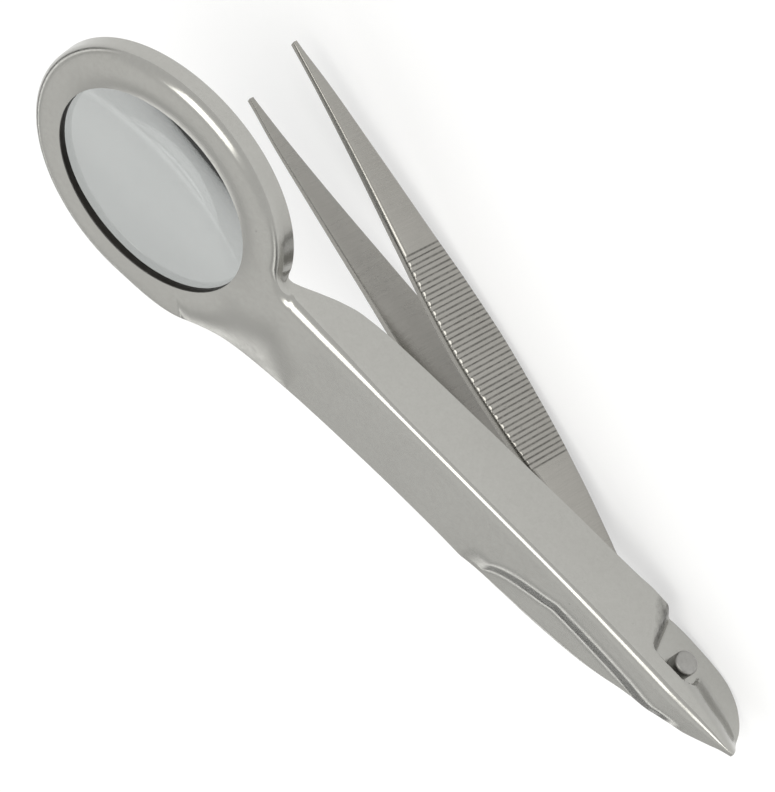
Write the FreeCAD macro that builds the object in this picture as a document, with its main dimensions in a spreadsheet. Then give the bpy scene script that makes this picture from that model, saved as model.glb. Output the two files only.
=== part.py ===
"""Pointed tweezers with a fold-out magnifier on a riveted sheet-metal arm.

Two spring-steel strips are joined at the butt and bow apart to the tips.  A pressed steel
magnifier frame turns on a rivet through the butt.  The frame is one sheet: a cup-shaped ring
that holds the lens, a flat web, a side flange, and a pressed tail that lies on the butt.

Row frame: the origin is where the rivet's axis meets the outer face of the back strip's butt.
+X runs along the strips towards the tips, +Z is up from the lens side, and the flange side of
the magnifier is on -Y.  Lengths are in millimetres and angles in degrees.
"""

import math
import os

import FreeCAD
import Part
import Sketcher

V = FreeCAD.Vector

DIMENSIONS = {
    # the two strips
    "strip_thickness": 1.3,
    "butt_radius": 2.6,
    "butt_shoulder": 70.0,
    "flexure_reach": 8.0,
    "waist_width": 2.9,
    "grip_width": 6.0,
    "tip_reach": 70.6,
    "tip_width": 0.5,
    "tip_thickness": 0.7,
    "taper_start": 40.0,
    "flare": 7.0,
    "ridge_start": 23.0,
    "ridge_pitch": 1.05,
    "ridge_count": 23.0,
    "ridge_depth": 0.16,
    # the rivet and its washer
    "shank_radius": 0.9,
    "shank_clearance": 0.04,
    "strip_hole_clearance": 0.01,
    "head_radius": 1.22,
    "head_height": 1.7,
    "head_bevel": 0.25,
    "head_clearance": 0.12,
    "sink_radius": 1.5,
    "sink_depth": 0.6,
    "washer_radius": 1.9,
    "washer_thickness": 0.3,
    "axial_play": 0.02,
    # the magnifier frame
    "sheet": 0.8,
    "web_height": 4.5,
    "ring_reach": 67.5,
    "ring_side": 0.9,
    "ring_radius": 15.4,
    "ring_depth": 2.8,
    "ring_corner": 0.6,
    "sight_radius": 11.5,
    "open_angle": 12.3,
    # the lens and the ring that keeps it in the cup
    "lens_radius": 14.4,
    "lens_curve": 95.0,
    "lens_edge": 0.8,
    "lens_gap": 0.02,
    "keeper_inner": 12.7,
    "keeper_outer": 14.56,
    "keeper_thickness": 0.5,
    "keeper_recess": 0.03,
}

# How far a cutting tool reaches where it only has to pass right through.
THROUGH = 20.0
# The hollow that opens the cup into the handle: its low corner in X and Y, then its two lengths.
NECK_CORNER = (50.5, -1.6)
NECK_SPAN = (6.5, 11.2)
# A grip groove's share of the pitch, and how far its cutter stands proud of the outer face.
GROOVE_SHARE = 0.28
GROOVE_RIM = 0.3

doc = FreeCAD.newDocument("magnifier_tweezers")
sheet = doc.addObject("Spreadsheet::Sheet", "sizes")
for row, (alias, value) in enumerate(DIMENSIONS.items(), start=1):
    sheet.set(f"A{row}", alias)
    sheet.set(f"B{row}", str(value))
    sheet.setAlias(f"B{row}", alias)
doc.recompute()


def size(alias):
    """The sheet's present value for one dimension."""
    return float(sheet.get(alias))


def bind(thing, prop, formula):
    """Drive one property of a document object from the sheet."""
    thing.setExpression(prop, formula)


def smooth(points):
    """A curve through points that are in one plane."""
    curve = Part.BSplineCurve()
    curve.interpolate(points)
    return curve.toShape()


def chain(points):
    """Straight edges from point to point."""
    return [Part.LineSegment(a, b).toShape() for a, b in zip(points, points[1:])]


def between(table, x):
    """Straight-line reading of a table of (x, value) pairs that fall in x."""
    for (x0, v0), (x1, v1) in zip(table, table[1:]):
        if x1 <= x <= x0:
            return v1 + (v0 - v1) * (x - x1) / (x0 - x1)
    return table[0][1] if x > table[0][0] else table[-1][1]


def feature(name, shape):
    """A plain shape held in the document."""
    thing = doc.addObject("Part::Feature", name)
    thing.Shape = shape
    return thing


def origin_plane(body, role):
    """One of a body's own origin planes."""
    return next(part for part in body.Origin.OriginFeatures if part.Role == role)


def profile_sketch(body, name, role, corners):
    """A closed outline on an origin plane; each corner is a pair of sheet formulas."""
    sketch = body.newObject("Sketcher::SketchObject", name)
    sketch.AttachmentSupport = [(origin_plane(body, role), "")]
    sketch.MapMode = "FlatFace"
    # rough starting places with no two lines parallel; the sheet's formulas then set them
    places = [[0.3 * (i + 1), 0.2 * (i * i + 1)] for i in range(len(corners))]
    count = len(corners)
    for i in range(count):
        (x0, y0), (x1, y1) = places[i], places[(i + 1) % count]
        sketch.addGeometry(Part.LineSegment(V(x0, y0, 0), V(x1, y1, 0)), False)
    for i in range(count):
        sketch.addConstraint(Sketcher.Constraint("Coincident", i, 2, (i + 1) % count, 1))
    for i, corner in enumerate(corners):
        for kind, term, place in zip(("DistanceX", "DistanceY"), corner, places[i]):
            index = sketch.addConstraint(Sketcher.Constraint(kind, -1, 1, i, 1, place))
            bind(sketch, f"Constraints[{index}]", term)
    return sketch


def turned_body(label, corners):
    """A round piece: an outline of (radius, height) corners turned about its own Z axis."""
    body = doc.addObject("PartDesign::Body", label)
    sketch = profile_sketch(body, label + "_outline", "XZ_Plane", corners)
    turn = body.newObject("PartDesign::Revolution", label + "_turn")
    turn.Profile = sketch
    turn.ReferenceAxis = (sketch, ["V_Axis"])
    turn.Angle = 360.0
    return body


STRIP = size("strip_thickness")
MID_PLANE = -STRIP
ALONG_PIVOT = FreeCAD.Rotation(V(1, 0, 0), 90)

# How far the outer face of a strip stands from the middle plane along its length.
BOW = [
    (14.0, 2.65), (21.0, 3.45), (29.0, 3.85), (38.0, 4.4), (48.0, 5.2), (58.0, 5.9), (66.0, 6.28),
]
# Half the strip's width along its length.
HALF_WIDTH = [(13.0, 1.62), (20.0, 2.2), (28.0, 2.8), (35.0, 3.0), (41.0, 2.75), (48.0, 2.15), (58.0, 1.3)]


def blade_side():
    """A strip's side view beyond the butt, for the front arm, in the row's XY plane."""
    start, reach = size("flexure_reach"), size("tip_reach")
    tip = size("tip_thickness")
    bow = [(start, STRIP)] + BOW + [(reach, BOW[-1][1] + 0.02)]

    taper = size("taper_start")

    def thinned(x):
        return STRIP - (STRIP - tip) * max(0.0, (x - taper) / (reach - taper))

    # the strips part at once by more than the flexure's travel, so that they never cross
    leaving = V(1, -math.tan(math.radians(size("flare"))), 0)
    outer = [V(x, MID_PLANE - y, 0) for x, y in bow]
    inner = [V(x, MID_PLANE - y + thinned(x), 0) for x, y in bow]
    curves = []
    for points in (outer, inner):
        curve = Part.BSplineCurve()
        curve.interpolate(Points=points, InitialTangent=leaving, FinalTangent=V(1, 0, 0))
        curves.append(curve)
    edges = [c.toShape() for c in curves] + chain([outer[0], inner[0]]) + chain([outer[-1], inner[-1]])
    side = Part.Face(Part.Wire(Part.__sortEdges__(edges)))
    return side, curves[0]


def blade_plan():
    """A strip's width beyond the butt, in the row's XZ plane."""
    start, reach = size("flexure_reach"), size("tip_reach")
    half = [(start, size("waist_width") / 2)] + HALF_WIDTH + [(reach, size("tip_width") / 2)]
    upper = [V(x, 0, z) for x, z in half]
    lower = [V(x, 0, -z) for x, z in half]
    edges = [smooth(upper), smooth(lower)] + chain([upper[0], lower[0]]) + chain([upper[-1], lower[-1]])
    return Part.Face(Part.Wire(Part.__sortEdges__(edges)))


def ridge_cutters(outer_curve):
    """V-shaped grooves across the outer face that leave the grip's ridges between them."""
    pitch, depth = size("ridge_pitch"), size("ridge_depth")
    cutters = []
    for i in range(int(size("ridge_count")) + 1):
        x = size("ridge_start") + i * pitch
        at = outer_curve.value(outer_curve.parameter(V(x, MID_PLANE - between(BOW[::-1], x), 0)))
        rim, floor = at.y - GROOVE_RIM, at.y + depth
        spread = pitch * GROOVE_SHARE * (floor - rim) / depth / 2
        corners = [V(at.x - spread, rim, -5), V(at.x + spread, rim, -5), V(at.x, floor, -5)]
        wire = Part.makePolygon(corners + corners[:1])
        cutters.append(Part.Face(wire).extrude(V(0, 0, 10)))
    return Part.makeCompound(cutters)


def make_arm(label, front):
    """One bowed, tapered blade with its grip ridges."""
    side_face, outer_curve = blade_side()
    side = feature(label + "_side", side_face)
    plan = feature(label + "_plan", blade_plan())
    depth = doc.addObject("Part::Extrusion", label + "_depth")
    depth.Base, depth.DirMode, depth.Dir = side, "Custom", V(0, 0, 1)
    depth.Solid, depth.Symmetric = True, True
    bind(depth, "LengthFwd", "sizes.grip_width + 4")
    width = doc.addObject("Part::Extrusion", label + "_width")
    width.Base, width.DirMode, width.Dir = plan, "Custom", V(0, 1, 0)
    width.Solid, width.Symmetric = True, True
    width.LengthFwd = 2 * THROUGH
    blank = doc.addObject("Part::Common", label + "_blank")
    blank.Base, blank.Tool = depth, width
    ridges = feature(label + "_ridges", ridge_cutters(outer_curve))
    arm = doc.addObject("Part::Cut", label)
    arm.Base, arm.Tool = blank, ridges
    if not front:
        # the back arm is the front one turned over about the middle plane's X axis
        arm.Placement = FreeCAD.Placement(V(0, 2 * MID_PLANE, 0), FreeCAD.Rotation(V(1, 0, 0), 180))
    return arm


def make_butt(label, front):
    """The flat tail of one strip, round about the rivet and narrowing to the flexure."""
    body = doc.addObject("PartDesign::Body", label)
    sketch = body.newObject("Sketcher::SketchObject", label + "_outline")
    sketch.AttachmentSupport = [(origin_plane(body, "XY_Plane"), "")]
    sketch.MapMode = "FlatFace"
    radius, reach, half = size("butt_radius"), size("flexure_reach"), size("waist_width") / 2
    shoulder = math.radians(size("butt_shoulder"))
    top = V(radius * math.cos(shoulder), radius * math.sin(shoulder), 0)
    low = V(top.x, -top.y, 0)
    circle = Part.Circle(V(0, 0, 0), V(0, 0, 1), radius)
    sketch.addGeometry(Part.ArcOfCircle(circle, shoulder, 2 * math.pi - shoulder), False)
    sketch.addGeometry(Part.LineSegment(low, V(reach, -half, 0)), False)
    sketch.addGeometry(Part.LineSegment(V(reach, -half, 0), V(reach, half, 0)), False)
    sketch.addGeometry(Part.LineSegment(V(reach, half, 0), top), False)
    rules = [
        ("Coincident", 0, 3, -1, 1), ("Tangent", 0, 2, 1, 1), ("Coincident", 1, 2, 2, 1),
        ("Coincident", 2, 2, 3, 1), ("Tangent", 3, 2, 0, 1), ("Symmetric", 2, 1, 2, 2, -1),
    ]
    for rule in rules:
        sketch.addConstraint(Sketcher.Constraint(*rule))
    for kind, geometry, value, term in (
        ("Radius", (0,), radius, "sizes.butt_radius"),
        ("DistanceX", (-1, 1, 2, 1), reach, "sizes.flexure_reach"),
        ("DistanceY", (2, 1, 2, 2), 2 * half, "sizes.waist_width"),
    ):
        index = sketch.addConstraint(Sketcher.Constraint(kind, *geometry, value))
        bind(sketch, f"Constraints[{index}]", term)
    pad = body.newObject("PartDesign::Pad", label + "_pad")
    pad.Profile = sketch
    bind(pad, "Length", "sizes.strip_thickness")
    bore = body.newObject("Sketcher::SketchObject", label + "_bore")
    bore.AttachmentSupport = [(origin_plane(body, "XY_Plane"), "")]
    bore.MapMode = "FlatFace"
    bore.addGeometry(Part.Circle(V(0, 0, 0), V(0, 0, 1), size("shank_radius")), False)
    bore.addConstraint(Sketcher.Constraint("Coincident", 0, 3, -1, 1))
    index = bore.addConstraint(Sketcher.Constraint("Radius", 0, size("shank_radius")))
    bind(bore, f"Constraints[{index}]", "sizes.shank_radius + sizes.strip_hole_clearance")
    hole = body.newObject("PartDesign::Pocket", label + "_hole")
    hole.Profile = bore
    hole.Type = "ThroughAll"
    hole.Reversed = True
    doc.recompute()
    if front:
        body.Placement = FreeCAD.Placement(V(0, MID_PLANE, 0), ALONG_PIVOT)
    else:
        sink = body.newObject("PartDesign::SubtractiveCone", label + "_sink")
        sink.AttachmentSupport = [(origin_plane(body, "XY_Plane"), "")]
        sink.MapMode = "FlatFace"
        bind(sink, "Radius1", "sizes.sink_radius + sizes.strip_hole_clearance")
        bind(sink, "Radius2", "sizes.shank_radius + sizes.strip_hole_clearance")
        bind(sink, "Height", "sizes.sink_depth")
        body.Placement = FreeCAD.Placement(V(0, 0, 0), ALONG_PIVOT)
    return body


def make_rivet():
    """Countersunk at the back, straight through both strips, with a tall head at the front."""
    stack = "2 * sizes.strip_thickness + sizes.washer_thickness + sizes.sheet + 2 * sizes.axial_play"
    body = turned_body("rivet", [
        ("0", "0"),
        ("sizes.sink_radius", "0"),
        ("sizes.shank_radius", "sizes.sink_depth"),
        ("sizes.shank_radius", stack),
        ("sizes.head_radius", stack),
        ("sizes.head_radius", stack + " + sizes.head_height - sizes.head_bevel"),
        ("sizes.head_radius - sizes.head_bevel", stack + " + sizes.head_height"),
        ("0", stack + " + sizes.head_height"),
    ])
    body.Placement = FreeCAD.Placement(V(0, 0, 0), ALONG_PIVOT)
    return body


def make_washer():
    """A thin flat washer between the front strip and the magnifier's tail."""
    disc = doc.addObject("Part::Cylinder", "washer_disc")
    bind(disc, "Radius", "sizes.washer_radius")
    bind(disc, "Height", "sizes.washer_thickness")
    eye = doc.addObject("Part::Cylinder", "washer_eye")
    bind(eye, "Radius", "sizes.shank_radius + sizes.shank_clearance")
    bind(eye, "Height", "sizes.washer_thickness")
    washer = doc.addObject("Part::Cut", "washer")
    washer.Base, washer.Tool = disc, eye
    washer.Placement = FreeCAD.Placement(V(0, 2 * MID_PLANE, 0), ALONG_PIVOT)
    return washer


# The magnifier's handle as cross-sections of its outer surface, in the frame's own axes with
# the pivot at the origin and the lens plane level.  Each table is read along X.
WEB_EDGE = [
    (56.5, 11.6), (55.0, 10.6), (53.1, 9.5), (51.0, 8.6), (45.0, 7.3), (37.0, 6.1), (30.0, 5.5),
    (22.5, 5.1), (18.0, 5.15), (14.6, 5.0), (11.0, 4.45), (7.0, 3.6), (3.5, 2.65), (0.0, 1.45),
    (-3.0, 0.1), (-5.5, -1.45), (-8.4, -3.0),
]
MARGIN_DROP = [(21.5, 0.0), (18.0, 0.45), (14.6, 0.85), (-3.0, 0.85), (-5.5, 0.3), (-7.0, 0.0)]
BEND_LINE = [
    (56.5, 3.0), (30.0, 3.4), (22.5, 4.3), (18.0, 2.6), (14.6, 1.4), (7.0, 0.2), (0.0, -0.45),
    (-3.0, -1.1), (-5.5, -2.0), (-8.4, -3.1),
]
TOP_DROP = [(0.0, 0.0), (-3.0, 0.1), (-5.5, 0.3), (-8.4, 0.55)]
CREASE_SIDE = [(56.5, 2.75), (45.0, 3.25), (8.0, 4.9), (3.5, 4.9), (-8.4, 4.75)]
TAIL_STEP = [(6.3, 0.0), (3.7, 1.0)]
GROOVE_TOP = [(56.5, 2.7), (50.0, 2.5), (6.3, 1.9), (3.7, 2.0), (0.0, 2.2), (-3.0, 2.1), (-8.4, 1.9)]
GROOVE_FOOT = [
    (56.5, 2.4), (50.0, 1.8), (6.3, 0.0), (3.7, 0.5), (1.6, 1.45), (-1.6, 1.45), (-3.0, 0.1),
    (-5.5, 0.2), (-8.4, 0.8),
]
FREE_EDGE = [
    (56.5, 2.2), (53.2, 2.0), (51.2, 1.75), (49.1, 0.8), (47.0, -0.2), (44.8, -0.9), (40.5, -1.3),
    (30.0, -1.7), (18.0, -2.1), (8.0, -2.6), (6.3, -2.7), (5.0, -2.65), (3.7, -2.9), (0.0, -3.15),
    (-3.0, -2.85), (-5.5, -2.3), (-6.6, -1.8), (-7.6, -1.0), (-8.4, 0.0),
]
STATIONS = [
    56.5, 53.2, 51.2, 49.1, 47.0, 44.8, 40.5, 30.0, 22.5, 18.0, 14.6, 11.0, 8.0, 6.3, 5.0, 3.7,
    1.6, -1.6, -3.0, -5.5, -6.6, -7.6, -8.4,
]
CREASE_ROUND = 1.2


def outer_section(x):
    """The outer surface's corners at one station, as (y, z) from the web's edge to the flange's."""
    height = size("web_height")
    top = height - between(TOP_DROP, x)
    drop = between(MARGIN_DROP, x)
    bend, side = between(BEND_LINE, x), -between(CREASE_SIDE, x)
    low = side + (tail_level() - side) * between(TAIL_STEP, x)
    edge = between(FREE_EDGE, x)
    foot = max(between(GROOVE_FOOT, x), edge + 0.3)
    groove = max(between(GROOVE_TOP, x), foot + 0.2)
    arc = CREASE_ROUND * (1 - math.sqrt(0.5))
    return [
        (between(WEB_EDGE, x), top - drop), (bend, top - drop), (bend - drop - 0.05, top),
        (side + CREASE_ROUND, top), (side + arc, top - arc), (side, top - CREASE_ROUND),
        (side, groove), (low, foot), (low, edge),
    ]


def inner_section(outer):
    """The same corners on the sheet's inner surface, each square to its two runs."""
    thickness = size("sheet")
    inner = []
    for i in range(len(outer)):
        normals = []
        for a, b in ((i - 1, i), (i, i + 1)):
            if 0 <= a and b < len(outer):
                dy, dz = outer[b][0] - outer[a][0], outer[b][1] - outer[a][1]
                run = math.hypot(dy, dz)
                normals.append((-dz / run, dy / run))
        ny, nz = (sum(n[k] for n in normals) / len(normals) for k in (0, 1))
        scale = thickness / (ny * ny + nz * nz)
        inner.append((outer[i][0] + ny * scale, outer[i][1] + nz * scale))
    return inner


def handle():
    """The web, the side flange and the pressed tail as one ruled sheet."""
    wires = []
    for x in STATIONS:
        outer = outer_section(x)
        loop = outer + inner_section(outer)[::-1]
        points = [V(x, y, z) for y, z in loop]
        wires.append(Part.makePolygon(points + points[:1]))
    return Part.makeLoft(wires, True, True)


def make_magnifier():
    """The one-piece pressed frame, swung up by its rest angle about the pivot."""
    height, sheet_size, radius = size("web_height"), size("sheet"), size("ring_radius")
    ring_at = V(size("ring_reach"), size("ring_side"), 0)
    depth = size("ring_depth")
    drum = Part.makeCylinder(radius, depth, ring_at + V(0, 0, height - depth))
    rim = [e for e in drum.Edges if isinstance(e.Curve, Part.Circle) and e.CenterOfMass.z > height - 0.1]
    drum = drum.makeFillet(size("ring_corner"), rim)
    cup = Part.makeCylinder(radius - sheet_size, depth, ring_at + V(0, 0, height - depth - sheet_size))
    sight = Part.makeCylinder(size("sight_radius"), THROUGH, ring_at + V(0, 0, -THROUGH / 2))
    shell = handle().fuse(drum).cut(cup).cut(sight)
    neck = Part.makeBox(*NECK_SPAN, depth, V(*NECK_CORNER, height - sheet_size - depth))
    eye_radius = size("shank_radius") + size("shank_clearance")
    eye = Part.makeCylinder(eye_radius, THROUGH, V(0, -THROUGH / 2, 0), V(0, 1, 0))
    spot_radius = size("head_radius") + size("head_clearance")
    spot = Part.makeCylinder(spot_radius, THROUGH, V(0, tail_level(), 0), V(0, -1, 0))
    solid = shell.cut(neck).cut(eye).cut(spot).removeSplitter()
    frame = feature("lens_frame", max(solid.Solids, key=lambda s: s.Volume))
    frame.Placement = lens_place()
    return frame


def tail_level():
    """How far the tail's outer face is from the middle plane, towards -Y."""
    return -(STRIP + size("washer_thickness") + size("sheet"))


def lens_place():
    """Where the magnifier's own axes stand in the row at rest."""
    swing = FreeCAD.Rotation(V(0, -1, 0), size("open_angle"))
    return FreeCAD.Placement(V(0, MID_PLANE - size("axial_play"), 0), swing)


def on_ring_axis(height):
    """A placement on the ring's axis, at one height in the magnifier's own axes."""
    here = FreeCAD.Placement(V(size("ring_reach"), size("ring_side"), height), FreeCAD.Rotation())
    return lens_place().multiply(here)


def make_lens():
    """A double-convex lens that seats on the edge of the sight hole."""
    curve, rim = size("lens_curve"), size("lens_radius")
    seat = size("sight_radius")
    sag = curve - math.sqrt(curve**2 - rim**2)
    seat_sag = curve - math.sqrt(curve**2 - seat**2)
    crown = size("web_height") - size("sheet") - size("lens_gap") + seat_sag
    edge_top = crown - sag
    low = edge_top - size("lens_edge") - sag
    lower = Part.makeSphere(curve, V(0, 0, low + curve))
    upper = Part.makeSphere(curve, V(0, 0, crown - curve))
    drum = Part.makeCylinder(rim, 10, V(0, 0, -3))
    lens = feature("lens", drum.common(upper).common(lower))
    lens.Placement = on_ring_axis(0.0)
    return lens


def make_keeper():
    """The flat ring pressed into the cup behind the lens."""
    disc = doc.addObject("Part::Cylinder", "keeper_disc")
    bind(disc, "Radius", "sizes.keeper_outer")
    bind(disc, "Height", "sizes.keeper_thickness")
    eye = doc.addObject("Part::Cylinder", "keeper_eye")
    bind(eye, "Radius", "sizes.keeper_inner")
    bind(eye, "Height", "sizes.keeper_thickness")
    ring = doc.addObject("Part::Cut", "lens_keeper")
    ring.Base, ring.Tool = disc, eye
    ring.Placement = on_ring_axis(size("web_height") - size("ring_depth") + size("keeper_recess"))
    return ring


parts = [
    make_butt("butt_front", True),
    make_butt("butt_back", False),
    make_arm("arm_front", True),
    make_arm("arm_back", False),
    make_rivet(),
    make_washer(),
    make_magnifier(),
    make_lens(),
    make_keeper(),
]
doc.recompute()

for thing in doc.Objects:
    if any(word in thing.State for word in ("Invalid", "Error")):
        raise RuntimeError(f"{thing.Name} failed: {thing.State}")
for thing in parts:
    if thing.Shape.isNull() or not thing.Shape.isValid() or thing.Shape.Volume <= 0:
        raise RuntimeError(f"{thing.Label} has no valid shape")

os.makedirs("parts", exist_ok=True)
for thing in parts:
    thing.Shape.exportStep(os.path.join("parts", thing.Label + ".step"))
    box = thing.Shape.BoundBox
    print(f"{thing.Label}: {thing.Shape.Volume:.1f} mm3, {len(thing.Shape.Solids)} solid,"
          f" x {box.XMin:.2f}..{box.XMax:.2f} y {box.YMin:.2f}..{box.YMax:.2f}"
          f" z {box.ZMin:.2f}..{box.ZMax:.2f}")
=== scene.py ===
import math

import bpy
from mathutils import Matrix, Vector


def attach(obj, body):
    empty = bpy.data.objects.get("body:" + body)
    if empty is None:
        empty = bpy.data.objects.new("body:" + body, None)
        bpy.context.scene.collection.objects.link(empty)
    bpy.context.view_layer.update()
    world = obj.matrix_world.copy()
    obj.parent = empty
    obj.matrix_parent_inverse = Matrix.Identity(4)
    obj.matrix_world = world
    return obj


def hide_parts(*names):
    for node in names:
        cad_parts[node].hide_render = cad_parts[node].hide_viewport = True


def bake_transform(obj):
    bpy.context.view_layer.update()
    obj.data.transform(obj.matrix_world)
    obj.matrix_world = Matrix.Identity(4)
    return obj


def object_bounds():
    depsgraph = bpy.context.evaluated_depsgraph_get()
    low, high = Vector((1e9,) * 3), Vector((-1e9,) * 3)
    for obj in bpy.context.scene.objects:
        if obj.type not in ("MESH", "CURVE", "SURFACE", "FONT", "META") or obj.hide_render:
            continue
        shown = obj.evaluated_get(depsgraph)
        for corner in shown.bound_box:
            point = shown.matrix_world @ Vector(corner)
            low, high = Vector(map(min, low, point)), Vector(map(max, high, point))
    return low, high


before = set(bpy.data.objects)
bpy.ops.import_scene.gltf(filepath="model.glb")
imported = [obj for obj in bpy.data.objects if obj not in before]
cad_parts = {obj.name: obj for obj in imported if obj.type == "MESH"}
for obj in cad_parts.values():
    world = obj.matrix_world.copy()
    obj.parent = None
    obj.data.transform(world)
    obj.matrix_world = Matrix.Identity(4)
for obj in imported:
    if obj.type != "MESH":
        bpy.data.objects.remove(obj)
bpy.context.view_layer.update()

MM = 0.001

# ---------------------------------------------------------------- sizes, in millimetres
# Along -Y from the back strip's outer face: the two strips, the washer, then the frame's tail.
STRIP = 1.3
MID_PLANE = -STRIP
WASHER = 0.3
SHEET = 0.8
AXIAL_PLAY = 0.02
# The rivet, its holes and its washer.
SHANK_RADIUS = 0.9
EYE_RADIUS = 0.94
HOLE_PLAY = 0.01
SINK_RADIUS, SINK_DEPTH = 1.5, 0.6
HEAD_RADIUS, HEAD_HEIGHT, HEAD_ROUND, HEAD_FOOT = 1.24, 1.7, 0.42, 0.06
WASHER_RADIUS = 1.9
# The frame in its own axes: pivot at the origin, lens plane level.
WEB_TOP = 4.5
TAIL_LEVEL = -2.4
HANDLE_END = 45.0
RING_AT = (67.5, 0.9)
RING_RADIUS, RING_DEPTH = 15.4, 2.8
SIGHT_RADIUS = 11.5
POCKET_RADIUS = 2.1
OPEN_ANGLE = 12.3
# The lens and the ring that keeps it in the cup.
LENS_CURVE, LENS_RADIUS, LENS_EDGE = 95.0, 14.4, 0.8
LENS_GAP, LENS_BEVEL, LENS_POLE = 0.02, 0.1, 0.12
KEEPER_OUTER, KEEPER_INNER = 14.56, 12.7
KEEPER_THICKNESS, KEEPER_RECESS = 0.5, 0.03

# The handle's outer surface, as tables of (X, size) in the frame's own axes.  The web's edge, the
# brow of the joggled margin, the groove and the free edge are places in Y or Z.
TAIL_END, TIP_PINCH = -8.95, 2.0
WEB_EDGE = [
    (TAIL_END, -4.4), (-7.9, -3.98), (-6.9, -3.3), (-5.1, -2.1), (-3.1, -0.95), (-1.9, -0.2),
    (-1.2, 0.2), (0.0, 0.8), (1.2, 1.25), (2.3, 1.65), (4.4, 2.6), (6.6, 3.4), (9.0, 4.0),
    (11.6, 4.5), (14.6, 4.95), (18.0, 5.15), (22.7, 5.15), (29.7, 5.5), (36.5, 6.15), (43.2, 7.0),
    (47.0, 7.7), (51.0, 8.65), (53.1, 9.45), (55.0, 10.6), (57.0, 12.16),
]
JOGGLE_RUN = 2.4
MARGIN_DROP = [
    (-4.5, 0.0), (-3.0, 0.4), (-1.5, 0.62), (14.6, 0.62), (18.0, 0.5), (20.3, 0.28), (22.0, 0.0),
]
BROW_LINE = [
    (TAIL_END, -4.85), (-5.0, -2.9), (-3.3, -1.75), (-2.0, -1.2), (-0.5, -1.2), (2.7, -1.5),
    (7.4, -1.6), (12.0, -1.5), (13.6, -0.9), (15.6, -0.2), (17.3, 0.5), (18.8, 1.5), (20.4, 3.4),
    (21.6, 4.2), (30.0, 4.5), (45.0, 6.0),
]
TOP_DROP = [(TAIL_END, 0.5), (-7.5, 0.36), (-5.5, 0.25), (-3.0, 0.1), (0.0, 0.0), (3.0, 0.0)]
CREASE_SIDE = [
    (TAIL_END, 4.86), (-5.5, 4.85), (3.5, 4.9), (8.0, 4.9), (26.0, 4.2), (HANDLE_END, 3.25),
]
GROOVE_TOP = [
    (TAIL_END, 3.85), (-8.4, 3.75), (-5.9, 3.25), (-3.5, 2.8), (-0.9, 2.45), (1.0, 2.3), (4.0, 2.3),
]
GROOVE_FOOT = [
    (TAIL_END, 1.1), (-8.4, 0.75), (-6.4, -0.27), (-4.4, -0.68), (-1.9, -1.25), (-0.9, -0.9),
    (0.4, 0.9), (1.5, 1.3), (4.0, 1.4),
]
FREE_EDGE = [
    (TAIL_END, 2.7), (-8.9, 1.9), (-8.8, 1.1), (-8.4, 0.1), (-7.6, -0.9), (-6.6, -1.75),
    (-5.5, -2.35), (-4.4, -2.75), (-3.0, -3.0), (-0.8, -3.15), (1.5, -3.2), (3.4, -3.1),
    (4.3, -2.65), (5.3, -2.38), (7.0, -2.42), (8.9, -2.25), (11.6, -2.12), (18.2, -2.0),
    (30.3, -1.7), (40.5, -1.35), (HANDLE_END, -0.85), (47.2, -0.1), (49.1, 0.85), (51.2, 2.0),
    (52.6, 2.6),
]
# The slanted step from the flange down to the tail: its middle at Z = 0, how much that moves along
# X for each unit of Z, and half its width.
RAMP_AT, RAMP_LEAN, RAMP_HALF = 3.6, 0.3, 1.0
POCKET_WALL = 0.24
MARGIN_ROUND, BROW_ROUND = 0.6, 0.8
# How wide the crease is rounded, on the handle, at the neck and round the ring.
CREASE_REACH, NECK_REACH, RING_REACH = 0.85, 1.4, 1.6
CREASE_ROUND = [
    (TAIL_END, 0.2), (-6.0, 0.6), (-3.0, 0.95), (2.0, 1.05), (9.0, 0.95), (16.0, CREASE_REACH),
    (35.0, CREASE_REACH), (HANDLE_END, NECK_REACH),
]
# The crease's straight run into the neck, the neck's two fillets, and the end of the ring's skirt.
FOLD_SIDE, FOLD_SLOPE, NECK_AT = 3.25, 0.0435, 52.0
NECK_TOP_FILLET, NECK_FOOT_FILLET, NECK_DIP = 3.4, 1.2, 0.35
SKIRT_END, SKIRT_FADE = math.radians(493), 0.12

# A strip: how far its outer face stands from the middle plane, and half its width, along X.
FLEXURE = 8.0
BOW = [
    (8.0, 1.3), (9.5, 1.5), (14.0, 2.65), (21.0, 3.45), (29.0, 3.9), (38.0, 4.45), (48.0, 5.2),
    (58.0, 5.9), (66.0, 6.26), (70.6, 6.3),
]
HALF_WIDTH = [
    (8.0, 1.45), (13.0, 1.62), (20.0, 2.2), (28.0, 2.8), (35.0, 3.0), (41.0, 2.75), (48.0, 2.15),
    (58.0, 1.3), (66.0, 0.68), (70.6, 0.25),
]
BUTT_RADIUS, BUTT_SHOULDER = 2.6, math.radians(70)
THIN_FROM, THIN_RUN, THIN_BY, TIP_THICKNESS = 36.0, 60.0, 1.2, 0.7
EDGE_CROWN, GRIP_CROWN, CROWN_RUN, CRISP_EDGE = 0.14, 0.94, 9.0, 0.12
RIDGE_START, RIDGE_PITCH, RIDGE_COUNT, RIDGE_DEPTH = 23.0, 1.05, 23, 0.24

# Turns a lathe's own Z into -Y, which is along the rivet.
ALONG_RIVET = Matrix.Rotation(math.radians(90), 4, "X")


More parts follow.
